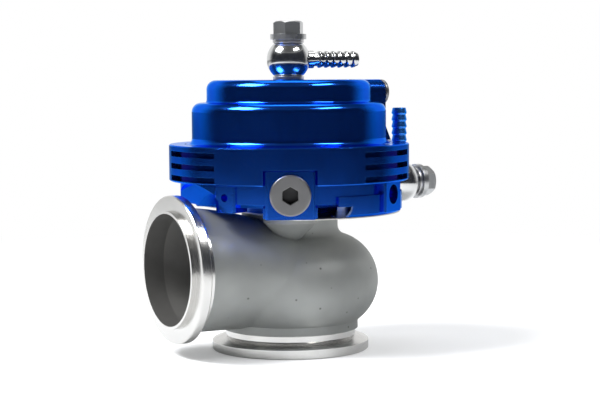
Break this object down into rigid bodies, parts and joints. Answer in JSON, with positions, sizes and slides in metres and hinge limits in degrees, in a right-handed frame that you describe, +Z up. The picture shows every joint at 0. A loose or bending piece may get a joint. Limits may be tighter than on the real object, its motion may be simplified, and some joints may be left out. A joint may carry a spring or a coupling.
{
  "type": "turbo wastegate",
  "caption": "Poppet wastegate with V-band inlet below, V-band outlet at the side, and a sprung diaphragm actuator with hose fittings on top.",
  "frame": {"origin": "centre of the inlet flange's bottom face, on the valve axis", "axes": "+Z up the valve axis from inlet to lid, -X out of the outlet flange, right-handed"},
  "size_m": [0.1255, 0.098, 0.1338],
  "materials": {
    "cast_stainless": "bead-blasted stainless casting with machined flanges",
    "seat_alloy": "ground hard seat ring",
    "bronze": "machined bronze",
    "sheet_stainless": "rolled sheet stainless",
    "screw_steel": "plain machined steel",
    "blue_anodised": "deep blue gloss anodised aluminium",
    "seal_rubber": "black fluorocarbon rubber",
    "diaphragm_rubber": "fabric-backed silicone rubber",
    "polished_steel": "polished steel fittings",
    "seal_washer": "soft aluminium sealing washers",
    "satin_steel": "fine turned satin steel",
    "valve_steel": "ground valve steel",
    "plain_alloy": "plain machined aluminium",
    "spring_steel": "drawn spring wire"
  },
  "bodies": {
    "housing": {"actuator_housing": "blue_anodised", "actuator_lid": "blue_anodised", "collar_grub_screws": "screw_steel", "diaphragm": "diaphragm_rubber", "heat_shield": "sheet_stainless", "inner_spring": "spring_steel", "lid_plug_seal": "seal_washer", "lid_port_plug": "satin_steel", "locking_collar": "blue_anodised", "middle_spring": "spring_steel", "mounting_screws": "screw_steel", "outer_spring": "spring_steel", "port_plug_seals": "seal_washer", "port_plugs": "satin_steel", "side_banjo_bolt": "polished_steel", "side_banjo_eye": "polished_steel", "side_banjo_washers": "seal_washer", "side_hose_barb": "blue_anodised", "stem_bushing": "bronze", "stem_seal": "seal_rubber", "top_banjo_bolt": "polished_steel", "top_banjo_fitting": "polished_steel", "top_banjo_washers": "seal_washer", "valve_body": "cast_stainless", "valve_guide": "bronze", "valve_seat": "seat_alloy"},
    "valve_train": {"valve": "valve_steel", "lower_plate": "plain_alloy", "spring_piston": "plain_alloy", "stem_washer": "screw_steel", "stem_nut": "screw_steel"}
  },
  "joints": [
    {"name": "valve_lift", "type": "slide", "parent": "housing", "child": "valve_train", "axis": [0, 0, 1], "range_m": [0, 0.011], "stiffness_N_per_m": 12000, "springref_m": -0.01, "deforming": ["outer_spring", "middle_spring", "inner_spring", "diaphragm"]}
  ]
}
